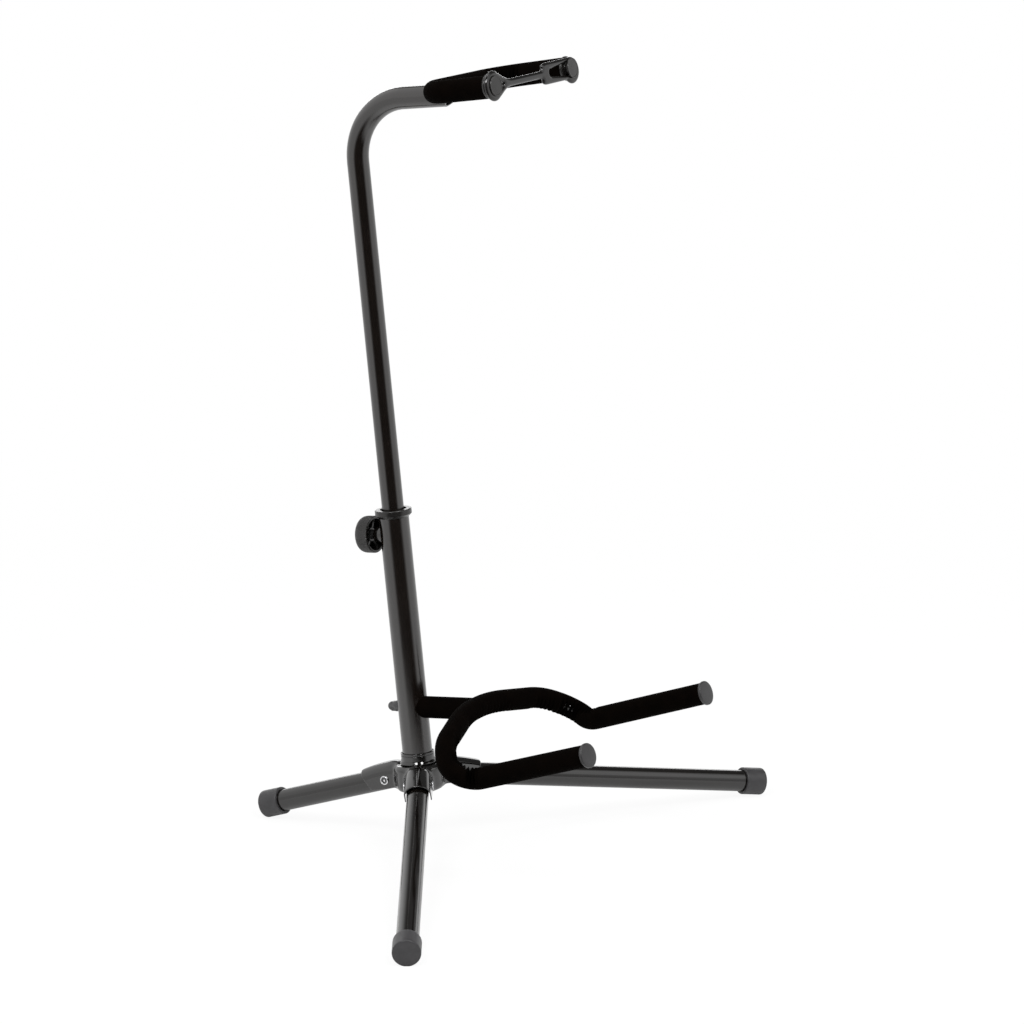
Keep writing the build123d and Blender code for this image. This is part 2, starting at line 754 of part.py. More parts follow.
# --- Assembly ---------------------------------------------------------------
def build_nodes():
    """Every piece of the stand, by node name, in the mast frame."""
    nodes = {
        "hub": make_hub(),
        "hub_plug": make_hub_plug(),
        "lower_tube": make_lower_tube(),
        "tube_collar": make_collar(),
        "clamp_boss": make_clamp_boss(),
        "clamp_knob": make_clamp_knob(),
        "clamp_screw": make_clamp_screw(),
        "clamp_pad": make_clamp_pad(),
        "upper_tube": make_upper_tube(),
        "glide_bush": make_glide_bush(),
        "yoke_rod": make_yoke_rod(),
        "yoke_foam": make_yoke_foam(),
        "left_yoke_cap": make_yoke_cap(-1),
        "right_yoke_cap": make_yoke_cap(1),
        "neck_strap": make_neck_strap(),
        "cradle_stem": make_cradle_stem(),
        "cradle_rod": make_cradle_rod(),
        "cradle_foam": make_cradle_foam(),
        "stem_foam": make_stem_foam(),
        "left_cradle_cap": make_cradle_cap(-1),
        "right_cradle_cap": make_cradle_cap(1),
        "cradle_stud": make_cradle_stud(),
        "cradle_washer": make_cradle_washer(),
        "cradle_nut": make_cradle_nut(),
    }
    for name in leg_directions:
        nodes[name + "_leg_tube"] = leg_location(name) * leg_tube(name)
        nodes[name + "_foot"] = leg_location(name) * foot_cap(name)
    rivets = [leg_location(name) * leg_rivet() for name in leg_directions]
    nodes["leg_rivets"] = Compound(children=rivets)
    return nodes


def stand_up(nodes):
    """Tilt the mast back, lift the hub, cut the soles and centre the footprint."""
    upright = Pos(0, 0, hub_height) * Rot(-mast_tilt, 0, 0)
    floor_side = 4 * front_leg_length
    floor = Box(
        floor_side, floor_side, foot_radius, align=(Align.CENTER, Align.CENTER, Align.MAX)
    )
    placed = {}
    for name, piece in nodes.items():
        piece = upright * piece
        if name.endswith("_foot"):
            piece -= floor
        placed[name] = piece
    boxes = [piece.bounding_box() for piece in placed.values()]
    middle = (min(b.min.Y for b in boxes) + max(b.max.Y for b in boxes)) / 2
    shift = Pos(0, -middle, 0)
    return {name: shift * piece for name, piece in placed.items()}, shift * upright


nodes, mast_location = stand_up(build_nodes())
os.makedirs("parts", exist_ok=True)
for name, piece in nodes.items():
    export_step(piece, os.path.join("parts", name + ".step"))
    print(name, round(piece.volume, 1))
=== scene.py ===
import json
import math

import bmesh
import bpy
import numpy as np
import openvdb
from mathutils import Matrix, Vector


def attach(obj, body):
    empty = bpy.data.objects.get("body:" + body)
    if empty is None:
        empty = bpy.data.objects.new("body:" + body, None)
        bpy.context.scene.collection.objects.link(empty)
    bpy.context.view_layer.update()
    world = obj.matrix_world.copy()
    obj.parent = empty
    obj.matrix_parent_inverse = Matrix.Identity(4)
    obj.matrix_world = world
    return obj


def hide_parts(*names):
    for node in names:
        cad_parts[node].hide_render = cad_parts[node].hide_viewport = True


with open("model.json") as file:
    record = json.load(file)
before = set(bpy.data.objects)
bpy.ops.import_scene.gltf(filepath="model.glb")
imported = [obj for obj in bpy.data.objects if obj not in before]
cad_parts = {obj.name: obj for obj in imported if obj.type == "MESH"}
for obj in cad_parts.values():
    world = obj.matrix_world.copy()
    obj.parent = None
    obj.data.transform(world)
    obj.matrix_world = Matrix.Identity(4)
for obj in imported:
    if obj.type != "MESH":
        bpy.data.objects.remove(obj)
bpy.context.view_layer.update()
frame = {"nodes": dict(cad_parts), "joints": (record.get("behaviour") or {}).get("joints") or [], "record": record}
joints = {joint["name"]: joint for joint in frame["joints"]}
print("stand frame loaded:", len(frame["nodes"]), "parts")

# Lengths below are in millimetres, in the frame of the mast or of one leg;
# each place matrix turns them into metres.
millimetre = Matrix.Scale(0.001, 4)
upperTubeBottom = 149.0


def placeOf(origin, across, back, up):
    turn = Matrix((across, back, up)).transposed().to_4x4()
    return Matrix.Translation(origin) @ turn @ millimetre


def mastPlace():
    # origin where the leg axes cross, X across, Y back, Z up the mast
    up = Vector(joints["height_slide"]["axis"]).normalized()
    across = Vector((1, 0, 0))
    origin = Vector(joints["yoke_turn"]["pos_m"]) - up * upperTubeBottom / 1000
    return placeOf(origin, across, up.cross(across), up)


mast = mastPlace()


def legPlace(name):
    # X out along the leg, Y along its rivet, Z up
    joint = joints[name + "_leg_fold"]
    across = Vector(joint["axis"]).normalized()
    outward = (Vector(joint["pos_m"]) - mast.translation).normalized()
    return placeOf(mast.translation, outward, across, outward.cross(across))


# ---- node helpers ----
def addNode(tree, kind, values=None, **options):
    # values: input name or number -> plain value, or a socket to link from
    node = tree.nodes.new(kind)
    for option, value in options.items():
        setattr(node, option, value)
    for key, value in (values or {}).items():
        if isinstance(value, bpy.types.NodeSocket):
            tree.links.new(value, node.inputs[key])
        else:
            node.inputs[key].default_value = value
    return node


def mathNode(tree, operation, first, second=0.0, third=0.0):
    return addNode(tree, "ShaderNodeMath", {0: first, 1: second, 2: third}, operation=operation).outputs[0]


def vectorMath(tree, operation, first, second=(0, 0, 0), scale=1.0):
    values = {0: first, 1: second}
    if operation == "SCALE":
        values = {0: first, 3: scale}
    node = addNode(tree, "ShaderNodeVectorMath", values, operation=operation)
    return node.outputs[1 if operation in ("DOT_PRODUCT", "LENGTH") else 0]


def newTree(name, inputs):
    # a Geometry Nodes tree that takes and gives a geometry, with named inputs
    tree = bpy.data.node_groups.new(name, "GeometryNodeTree")
    tree.interface.new_socket("Geometry", in_out="INPUT", socket_type="NodeSocketGeometry")
    for label, kind in inputs.items():
        tree.interface.new_socket(label, in_out="INPUT", socket_type="NodeSocket" + kind)
    tree.interface.new_socket("Geometry", in_out="OUTPUT", socket_type="NodeSocketGeometry")
    return tree, tree.nodes.new("NodeGroupInput").outputs


def endTree(tree, geometry, material):
    real = addNode(tree, "GeometryNodeRealizeInstances", {"Geometry": geometry})
    painted = addNode(tree, "GeometryNodeSetMaterial", {"Geometry": real.outputs[0], "Material": material})
    result = tree.nodes.new("NodeGroupOutput")
    tree.links.new(painted.outputs[0], result.inputs[0])


def runTree(piece, tree, values):
    # runs the tree on a piece and keeps the result as its plain mesh
    modifier = piece.modifiers.new(tree.name, "NODES")
    modifier.node_group = tree
    for item in tree.interface.items_tree:
        if item.in_out == "INPUT" and item.name in values:
            modifier[item.identifier] = values[item.name]
    keepResult(piece)


def keepResult(piece):
    # the evaluated mesh replaces the piece's own, and its modifiers go
    bpy.context.view_layer.update()
    evaluated = piece.evaluated_get(bpy.context.evaluated_depsgraph_get())
    mesh = bpy.data.meshes.new_from_object(evaluated)
    piece.modifiers.clear()
    piece.data = mesh


# ---- mesh helpers ----
def newPiece(name, mesh, material=None):
    piece = bpy.data.objects.new(name, mesh)
    bpy.context.scene.collection.objects.link(piece)
    if material:
        mesh.materials.clear()
        mesh.materials.append(material)
    return piece


def rounded(corners, steps=5):
    # closed outline through (x, y, rounding) corners, each softened by its rounding
    points = []
    for index, (x, y, rounding) in enumerate(corners):
        corner = Vector((x, y))
        if not rounding:
            points.append(corner)
            continue
        before = Vector(corners[index - 1][:2]) - corner
        after = Vector(corners[(index + 1) % len(corners)][:2]) - corner
        start = corner + before.normalized() * min(rounding, before.length * 0.49)
        end = corner + after.normalized() * min(rounding, after.length * 0.49)
        for step in range(steps + 1):
            t = step / steps
            points.append(start * (1 - t) ** 2 + corner * 2 * t * (1 - t) + end * t ** 2)
    return points


def turnedMesh(name, outline, segments=96, steps=1):
    # closed (radius, height) outline turned about Z; long edges are cut into steps
    mesh = bmesh.new()
    rings = []
    points = []
    for index, point in enumerate(outline):
        after = outline[(index + 1) % len(outline)]
        parts = max(1, round((after - point).length / steps)) if steps > 1 else 1
        points += [point.lerp(after, part / parts) for part in range(parts)]
    for radius, height in points:
        if radius < 1e-6:
            rings.append([mesh.verts.new((0, 0, height))])
            continue
        angles = [math.tau * step / segments for step in range(segments)]
        rings.append([
            mesh.verts.new((radius * math.cos(angle), radius * math.sin(angle), height))
            for angle in angles
        ])
    for first, second in zip(rings, rings[1:] + rings[:1]):
        if len(first) == 1 and len(second) == 1:
            continue
        for step in range(segments):
            corners = [first[step % len(first)], first[(step + 1) % len(first)],
                       second[(step + 1) % len(second)], second[step % len(second)]]
            mesh.faces.new(dict.fromkeys(corners))
    bmesh.ops.recalc_face_normals(mesh, faces=mesh.faces)
    data = bpy.data.meshes.new(name)
    mesh.to_mesh(data)
    mesh.free()
    return data


def fieldMesh(name, field, cell, corner):
    # the skin where a distance field is zero; corner is the place of its first sample
    grid = openvdb.FloatGrid()
    grid.background = 3.0
    grid.copyFromArray(np.clip(field, -3.0, 3.0).astype(np.float32))
    points, quads = grid.convertToQuads(0.0)
    points = points * cell + np.array(corner)
    mesh = bpy.data.meshes.new(name)
    mesh.from_pydata(points.tolist(), [], quads.tolist())
    mesh.update()
    closed = bmesh.new()
    closed.from_mesh(mesh)
    bmesh.ops.recalc_face_normals(closed, faces=closed.faces)
    closed.to_mesh(mesh)
    closed.free()
    return mesh


def softened(piece, times):
    # evens out the small steps of a field mesh
    smooth = piece.modifiers.new("soften", "SMOOTH")
    smooth.iterations = times
    smooth.factor = 0.5
    keepResult(piece)
    piece.data.shade_smooth()


def shadeSoft(mesh, angle=35):
    mesh.shade_smooth()
    mesh.set_sharp_from_angle(angle=math.radians(angle))


def settle(piece, place, body, material_slot, *nodes):
    # puts the finished mesh in its place, on its body, for the nodes that it stands for
    piece.data.transform(place)
    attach(piece, body)
    if nodes:
        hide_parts(*nodes)


# ---- materials ----
def surface(name, look):
    # a Principled surface whose tone, gloss and relief come from noise on the piece;
    # the tone runs from dark to light over the middle of the noise's range
    material = bpy.data.materials.new(name)
    material.use_nodes = True
    tree = material.node_tree
    tree.nodes.clear()
    where = addNode(tree, "ShaderNodeTexCoord").outputs["Object"]
    patches = addNode(tree, "ShaderNodeTexNoise", {
        "Vector": where, "Scale": look["patchScale"], "Detail": 4.0, "Roughness": 0.6,
    }).outputs["Fac"]
    grain = addNode(tree, "ShaderNodeTexNoise", {
        "Vector": where, "Scale": look["grainScale"], "Detail": 3.0, "Roughness": 0.55,
    }).outputs["Fac"]
    tone = addNode(tree, "ShaderNodeValToRGB", {"Fac": patches})
    tone.color_ramp.elements[0].position = 0.32
    tone.color_ramp.elements[0].color = (*look["dark"], 1)
    tone.color_ramp.elements[1].position = 0.72
    tone.color_ramp.elements[1].color = (*look["light"], 1)
    gloss = addNode(tree, "ShaderNodeMapRange", {
        "Value": patches, "To Min": look["rough"][0], "To Max": look["rough"][1],
    }).outputs["Result"]
    relief = grain
    if look.get("cells"):
        cells = addNode(tree, "ShaderNodeTexVoronoi", {"Vector": where, "Scale": look["cells"]})
        relief = mathNode(tree, "MULTIPLY_ADD", cells.outputs["Distance"], 0.8, grain)
    bump = addNode(tree, "ShaderNodeBump", {
        "Height": relief, "Strength": look["bump"], "Distance": look["bumpDepth"],
    })
    shader = addNode(tree, "ShaderNodeBsdfPrincipled", {
        "Base Color": tone.outputs["Color"], "Roughness": gloss, "Normal": bump.outputs["Normal"],
        "Metallic": look.get("metal", 0.0), "IOR": look.get("ior", 1.5),
        "Specular IOR Level": look.get("specular", 0.5),
    })
    addNode(tree, "ShaderNodeOutputMaterial", {"Surface": shader.outputs[0]})
    return material


finishes = {
    "mastEnamel": dict(dark=(0.0036, 0.0022, 0.0015), light=(0.0052, 0.0034, 0.0025), rough=(0.15, 0.19),
                       patchScale=55.0, grainScale=400.0, bump=0.06, bumpDepth=0.00005, ior=1.76),
    "tubeEnamel": dict(dark=(0.0036, 0.0028, 0.0024), light=(0.0052, 0.0042, 0.0036), rough=(0.10, 0.14),
                       patchScale=55.0, grainScale=400.0, bump=0.06, bumpDepth=0.00005, ior=1.6),
    "hubEnamel": dict(dark=(0.0028, 0.0023, 0.0020), light=(0.0042, 0.0036, 0.0032), rough=(0.055, 0.09),
                      patchScale=70.0, grainScale=300.0, bump=0.07, bumpDepth=0.0001, ior=1.68),
    "foamSkin": dict(dark=(0.0008, 0.0004, 0.0002), light=(0.0018, 0.0010, 0.0006), rough=(0.90, 1.0),
                     patchScale=90.0, grainScale=1500.0, cells=1400.0, bump=0.5, bumpDepth=0.0003,
                     specular=0.02),
    "mouldedPlastic": dict(dark=(0.0060, 0.0054, 0.0050), light=(0.0095, 0.0085, 0.0080), rough=(0.24, 0.31),
                           patchScale=120.0, grainScale=2600.0, bump=0.14, bumpDepth=0.00005),
    "capPlastic": dict(dark=(0.012, 0.0115, 0.012), light=(0.019, 0.018, 0.019), rough=(0.36, 0.46),
                       patchScale=120.0, grainScale=2400.0, bump=0.18, bumpDepth=0.00006),
    "footRubber": dict(dark=(0.027, 0.0262, 0.0275), light=(0.039, 0.038, 0.040), rough=(0.36, 0.46),
                       patchScale=100.0, grainScale=1800.0, bump=0.20, bumpDepth=0.00008, specular=0.35),
    "strapRubber": dict(dark=(0.0045, 0.0040, 0.0038), light=(0.0070, 0.0064, 0.0060), rough=(0.06, 0.10),
                        patchScale=90.0, grainScale=400.0, bump=0.06, bumpDepth=0.00005),
    "padNylon": dict(dark=(0.55, 0.54, 0.50), light=(0.66, 0.65, 0.61), rough=(0.40, 0.50),
                     patchScale=140.0, grainScale=2200.0, bump=0.15, bumpDepth=0.00005),
    "blackZinc": dict(dark=(0.05, 0.05, 0.052), light=(0.10, 0.10, 0.10), rough=(0.32, 0.44),
                      patchScale=260.0, grainScale=3000.0, bump=0.15, bumpDepth=0.00004, metal=0.6),
    "bareSteel": dict(dark=(0.52, 0.52, 0.53), light=(0.72, 0.72, 0.73), rough=(0.20, 0.30),
                      patchScale=300.0, grainScale=3200.0, bump=0.12, bumpDepth=0.00003, metal=1.0),
}
materials = {name: surface(name, look) for name, look in finishes.items()}
print("materials ready:", len(materials))

# ---- finishes of the solids that are shown as they are ----
slotFinish = {
    "gloss_black_steel": "hubEnamel", "black_tube": "tubeEnamel", "rod_steel": "tubeEnamel",
    "foam": "foamSkin", "black_plastic": "mouldedPlastic", "grey_cap": "capPlastic",
    "foot_rubber": "footRubber", "strap_rubber": "strapRubber", "pad_plastic": "padNylon",
    "rivet_steel": "blackZinc", "fastener_steel": "blackZinc",
}
nodeFinish = {"lower_tube": "mastEnamel", "upper_tube": "mastEnamel"}
for part in frame["record"]["subparts"]:
    solid = frame["nodes"][part["node"]]
    solid.data.materials.clear()
    finish = nodeFinish.get(part["node"], slotFinish[part["material_slot"]])
    solid.data.materials.append(materials[finish])


# ---- foam sleeves that follow a bent path ----
creaseSpan = 4.0  # the bend at a place is read this far ahead and behind
creases = {"Crease Depth": 0.25, "Crease Pitch": 0.75}
smoothSkin = {"Crease Depth": 0.0, "Crease Pitch": 0.5}


def bendingTree():
    # wraps a straight piece, turned about Z, round a path: its height becomes the way along
    tree, given = newTree("followPath", {
        "Path": "Object", "Crease Depth": "Float", "Crease Pitch": "Float", "Material": "Material",
    })
    path = addNode(tree, "GeometryNodeObjectInfo", {"Object": given["Path"]})
    corner = addNode(tree, "GeometryNodeInputRadius").outputs[0]
    bent = addNode(tree, "GeometryNodeFilletCurve", {
        "Curve": path.outputs["Geometry"], "Count": 24, "Radius": corner,
    }, mode="POLY").outputs[0]
    place = addNode(tree, "ShaderNodeSeparateXYZ", {
        "Vector": addNode(tree, "GeometryNodeInputPosition").outputs[0],
    }).outputs
    along = place["Z"]

    def sampled(length):
        node = addNode(tree, "GeometryNodeSampleCurve", {
            "Curves": bent, "Length": length,
        }, mode="LENGTH", use_all_curves=True)
        return node.outputs["Position"], node.outputs["Tangent"], node.outputs["Normal"]

    point, tangent, normal = sampled(along)
    side = vectorMath(tree, "CROSS_PRODUCT", tangent, normal)
    out = vectorMath(tree, "ADD", vectorMath(tree, "SCALE", normal, scale=place["X"]),
                     vectorMath(tree, "SCALE", side, scale=place["Y"]))
    # the skin folds in small creases on the inside of each bend
    ahead = sampled(mathNode(tree, "ADD", along, creaseSpan))[1]
    behind = sampled(mathNode(tree, "SUBTRACT", along, creaseSpan))[1]
    curl = vectorMath(tree, "SUBTRACT", ahead, behind)
    inside = mathNode(tree, "MAXIMUM", vectorMath(tree, "DOT_PRODUCT", out, curl), 0.0)
    wave = mathNode(tree, "SINE", mathNode(tree, "DIVIDE", along, given["Crease Pitch"]))
    fold = mathNode(tree, "MULTIPLY", mathNode(tree, "MULTIPLY_ADD", wave, 0.5, 0.5), inside)
    squeeze = mathNode(tree, "SUBTRACT", 1.0, mathNode(tree, "MULTIPLY", fold, given["Crease Depth"]))
    out = vectorMath(tree, "SCALE", out, scale=squeeze)
    moved = vectorMath(tree, "ADD", point, out)
    shaped = addNode(tree, "GeometryNodeSetPosition", {"Geometry": given["Geometry"], "Position": moved})
    endTree(tree, shaped.outputs[0], given["Material"])
    return tree


followPath = bendingTree()


def pathObject(name, corners, bends):
    # a polyline whose point radius is the bend at that corner
    curve = bpy.data.curves.new(name, "CURVE")
    curve.dimensions = "3D"
    line = curve.splines.new("POLY")
    line.points.add(len(corners) - 1)
    for point, corner, bend in zip(line.points, corners, [0.0, *bends, 0.0]):
        point.co = (*corner, 1)
        point.radius = bend
    return newPiece(name, curve)


def bentLength(corners, bends):
    # length of the path once its corners are rounded
    length = sum((b - a).length for a, b in zip(corners, corners[1:]))
    for before, corner, after, bend in zip(corners, corners[1:], corners[2:], bends):
        turn = (corner - before).angle(after - corner)
        length += bend * (turn - 2 * math.tan(turn / 2))
    return length


def makeSleeve(name, corners, bends, size, skin):
    # a foam tube from the path's first point to its last, rounded at both ends
    length = bentLength(corners, bends)
    outer, inner, edge = size["foamRadius"], size["rodRadius"], size["endRounding"]
    outline = rounded([(inner, 0.0, 0), (outer, 0.0, edge), (outer, length, edge), (inner, length, 0)])
    path = pathObject(name + ".path", corners, bends)
    piece = newPiece(name, turnedMesh(name, outline, segments=64, steps=1.6))
    runTree(piece, followPath, {"Path": path, "Material": materials["foamSkin"], **skin})
    bpy.data.objects.remove(path)
    shadeSoft(piece.data)
    return piece


yoke = dict(
    barHalfWidth=57.5, barReach=111.2, barHeight=592.72, barRoll=0.8, armReach=74.4, armSplay=2.8,
    rise=3.9, cornerBend=25.0, foamRadius=9.6, rodRadius=4.0, capLength=8.5, endRounding=1.5,
)


def yokePoint(across, reach):
    rise = math.tan(math.radians(yoke["rise"]))
    return Vector((across, -reach, yoke["barHeight"] + (reach - yoke["barReach"]) * rise))


def yokeCorner(side):
    # the bar lies a little rolled between the two arms
    drop = side * yoke["barHalfWidth"] * math.tan(math.radians(yoke["barRoll"]))
    return yokePoint(side * yoke["barHalfWidth"], yoke["barReach"]) - Vector((0, 0, drop))


def yokeArm(side):
    # centre of a cap's front face, and the way the arm points
    face = yokePoint(side * (yoke["barHalfWidth"] + yoke["armSplay"]), yoke["barReach"] + yoke["armReach"])
    return face, (face - yokeCorner(side)).normalized()


def yokeArmPoint(side, setback):
    face, way = yokeArm(side)
    return face - way * setback


def yokeCorners(setback):
    return [yokeArmPoint(-1, setback), yokeCorner(-1), yokeCorner(1), yokeArmPoint(1, setback)]


def makeYokeFoam():
    corners = yokeCorners(yoke["capLength"])
    piece = makeSleeve("yokeSleeve", corners, [yoke["cornerBend"]] * 2, yoke, creases)
    settle(piece, mast, "upper", "foam", "yoke_foam")


cradle = dict(
    corners=[(19.6, 65.8, 1.0), (78.3, 81.2, -10.0), (102.1, 98.3, -26.2), (93.9, 117.9, -33.8)],
    end=(98.4, 236.7, -6.7), bends=[115.0, 60.0, 21.5, 19.0], height=57.5, roll=2.2,
    foamRadius=9.4, rodRadius=4.0, capThickness=3.0, endRounding=1.2,
)


def cradlePoint(side, across, reach, above):
    # the cradle leans a little about its stem
    roll = math.radians(cradle["roll"])
    level = side * across
    x = level * math.cos(roll) - above * math.sin(roll)
    return Vector((x, -reach, cradle["height"] + above * math.cos(roll) + level * math.sin(roll)))


def cradleCorners(setback):
    halves = {}
    for side in (-1, 1):
        corners = [cradlePoint(side, *corner) for corner in cradle["corners"]]
        face = cradlePoint(side, *cradle["end"])
        arm = (face - corners[-1]).normalized()
        halves[side] = corners + [face - arm * setback]
    return halves[-1][::-1] + halves[1]


def makeCradleFoam():
    corners = cradleCorners(cradle["capThickness"])
    bends = cradle["bends"][::-1] + cradle["bends"]
    piece = makeSleeve("cradleSleeve", corners, bends, cradle, creases)
    settle(piece, mast, "base", "foam", "cradle_foam")


stem = dict(foamRadius=9.5, rodRadius=6.0, start=8.0, endRounding=1.0, seatRadius=12.4)


def makeStemFoam():
    reach = cradle["corners"][0][1]
    corners = [Vector((0, -stem["start"], cradle["height"])), Vector((0, -reach, cradle["height"]))]
    piece = makeSleeve("stemSleeve", corners, [], stem, smoothSkin)
    # the back end is saddled to the wall of the lower tube, so the tube's bore stays free
    for vertex in piece.data.vertices:
        seat = math.sqrt(stem["seatRadius"] ** 2 - vertex.co.x ** 2)
        share = (-vertex.co.y - stem["start"]) / (reach - stem["start"])
        vertex.co.y = -(seat + share * (reach - seat))
    settle(piece, mast, "base", "foam", "stem_foam")


makeYokeFoam()
makeCradleFoam()
makeStemFoam()
print("foam sleeves done")

# ---- end caps ----
yokeCap = dict(
    front=0.9, lift=0.5, buttonRadius=8.4, buttonThick=1.4, rimWidth=0.75, rimHeight=0.22,
    neckRadius=5.75, skirtRadius=10.4, skirtFront=6.3, length=8.5, edge=0.5, fillet=0.3, crown=0.14,
)


def facingPlace(place, face, direction):
    # frame at a point of the place, with Z along a direction
    turn = direction.to_track_quat("Z", "Y").to_matrix().to_4x4()
    return place @ Matrix.Translation(face) @ turn


def makeYokeCaps():
    # a rimmed button on a neck, which the strap's end slips over, and a skirt against the foam
    size = yokeCap
    front = -size["front"]
    back = front - size["buttonThick"]
    face = front - size["rimHeight"]
    outline = rounded([
        (0.0, -size["length"], 0),
        (size["skirtRadius"], -size["length"], size["edge"]),
        (size["skirtRadius"], -size["skirtFront"], size["edge"] * 1.6),
        (size["neckRadius"], -size["skirtFront"] + 0.2, size["edge"]),
        (size["neckRadius"], back, size["fillet"]),
        (size["buttonRadius"], back, size["edge"]),
        (size["buttonRadius"], front, size["edge"]),
        (size["buttonRadius"] - size["rimWidth"], front, size["fillet"]),
        (size["buttonRadius"] - size["rimWidth"] - size["fillet"], face, 0.25),
        (size["buttonRadius"] * 0.4, face + size["crown"] - 0.02, 0),
        (0.0, face + size["crown"], 0),
    ])
    for side, name in ((-1, "left"), (1, "right")):
        piece = newPiece(name + "YokeCap", turnedMesh(name + "YokeCap", outline),
                         materials["mouldedPlastic"])
        shadeSoft(piece.data)
        place = facingPlace(mast, *yokeArm(side))
        if side < 0:
            place = place @ Matrix.Translation((0, size["lift"], 0))
        settle(piece, place, "upper", "black_plastic", name + "_yoke_cap")


cradleCap = dict(radius=10.4, thickness=3.0, edge=0.8, plugRadius=1.95, plugLength=8.0, crown=0.25)


def makeCradleCaps():
    size = cradleCap
    outline = rounded([
        (0.0, -size["thickness"] - size["plugLength"], 0),
        (size["plugRadius"], -size["thickness"] - size["plugLength"], 0.4),
        (size["plugRadius"], -size["thickness"], 0),
        (size["radius"], -size["thickness"], size["edge"]),
        (size["radius"], -size["crown"], size["edge"]),
        (size["radius"] * 0.5, -0.06, 0),
        (0.0, 0.0, 0),
    ])
    for side, name in ((-1, "left"), (1, "right")):
        corner = cradlePoint(side, *cradle["corners"][-1])
        face = cradlePoint(side, *cradle["end"])
        piece = newPiece(name + "CradleCap", turnedMesh(name + "CradleCap", outline),
                         materials["capPlastic"])
        shadeSoft(piece.data)
        place = facingPlace(mast, face, (face - corner).normalized())
        settle(piece, place, "base", "grey_cap", name + "_cradle_cap")


makeYokeCaps()
makeCradleCaps()
print("end caps done")

# ---- strap across the neck yoke ----
strap = dict(
    thickness=3.9, edge=3.1, cell=0.35, setback=4.2, ringRadius=12.5, ringTaper=21.0, taperBlend=7.0,
    holeRadius=6.2, holeTipAt=13.6, holeTipRadius=1.8, barHeight=6.2, loopLength=44.8, loopHalf=9.1,
    loopCorner=7.0, loopBlend=3.0, tabLength=10.6, slotRadius=3.0, hookRadius=11.2, hookShift=1.4,
    hookDrop=1.9,
)


def arcPoints(centre, radius, start, end, steps=28, level=0.0):
    turns = [math.radians(start + (end - start) * step / steps) for step in range(steps + 1)]
    return [Vector((centre + radius * math.cos(turn), level + radius * math.sin(turn))) for turn in turns]


def drawnHole(centre, radius, tip, tipRadius):
    # a round hole drawn out to a smaller end
    turn = math.degrees(math.acos((radius - tipRadius) / abs(tip - centre)))
    toward = 0 if tip > centre else 180
    return (arcPoints(centre, radius, toward + turn, toward + 360 - turn, 40)
            + arcPoints(tip, tipRadius, toward - turn, toward + turn, 16))


def strapOutlines(half):
    size = strap
    bar = size["barHeight"] / 2
    loopStart = half - size["loopLength"]
    # the ring runs down to the bar in straight flanks
    flank = math.acos(size["ringRadius"] / math.hypot(size["ringTaper"], bar))
    leave = math.degrees(math.atan2(bar, size["ringTaper"]) + flank)
    ring = arcPoints(-half, size["ringRadius"], leave, 360 - leave, 56)
    # the far ring hangs a little low on its cap
    hookAt, drop = half + size["hookShift"], -size["hookDrop"]
    sinkTop = math.degrees(math.asin((size["loopHalf"] - drop) / size["hookRadius"]))
    sinkBelow = math.degrees(math.asin((size["loopHalf"] + drop) / size["hookRadius"]))
    hook = arcPoints(hookAt, size["hookRadius"], 180 - sinkTop, sinkBelow - 180, 64, drop)
    corners = [
        (size["ringTaper"] - half, bar, size["taperBlend"]),
        (loopStart, bar, size["loopBlend"]),
        (loopStart, size["loopHalf"], size["loopCorner"]),
    ]
    above = rounded([(*ring[0], 0), *corners, (*hook[0], 0)], steps=8)
    below = rounded([(*ring[-1], 0), *((x, -y, soft) for x, y, soft in corners), (*hook[-1], 0)], steps=8)
    outer = ring[::-1] + above[1:-1] + hook + below[-2:0:-1]
    eye = drawnHole(-half, size["holeRadius"], size["holeTipAt"] - half, size["holeTipRadius"])
    slotStart = loopStart + size["tabLength"] + size["slotRadius"]
    return [outer, eye, drawnHole(half, size["holeRadius"], slotStart, size["slotRadius"])]


def flatDistance(x, y, outlines):
    # distance to the edges of a flat outline with holes, below zero inside it
    nearest = np.full(x.shape, 1e9)
    inside = np.zeros(x.shape, bool)
    for outline in outlines:
        for start, end in zip(outline, outline[1:] + outline[:1]):
            edge = end - start
            if edge.length < 1e-6:
                continue
            part = ((x - start.x) * edge.x + (y - start.y) * edge.y) / edge.length_squared
            part = np.clip(part, 0, 1)
            nearest = np.minimum(nearest, np.hypot(x - start.x - part * edge.x, y - start.y - part * edge.y))
            if edge.y:
                inside ^= ((start.y > y) != (end.y > y)) & (x < start.x + (y - start.y) / edge.y * edge.x)
    return np.where(inside, -nearest, nearest)


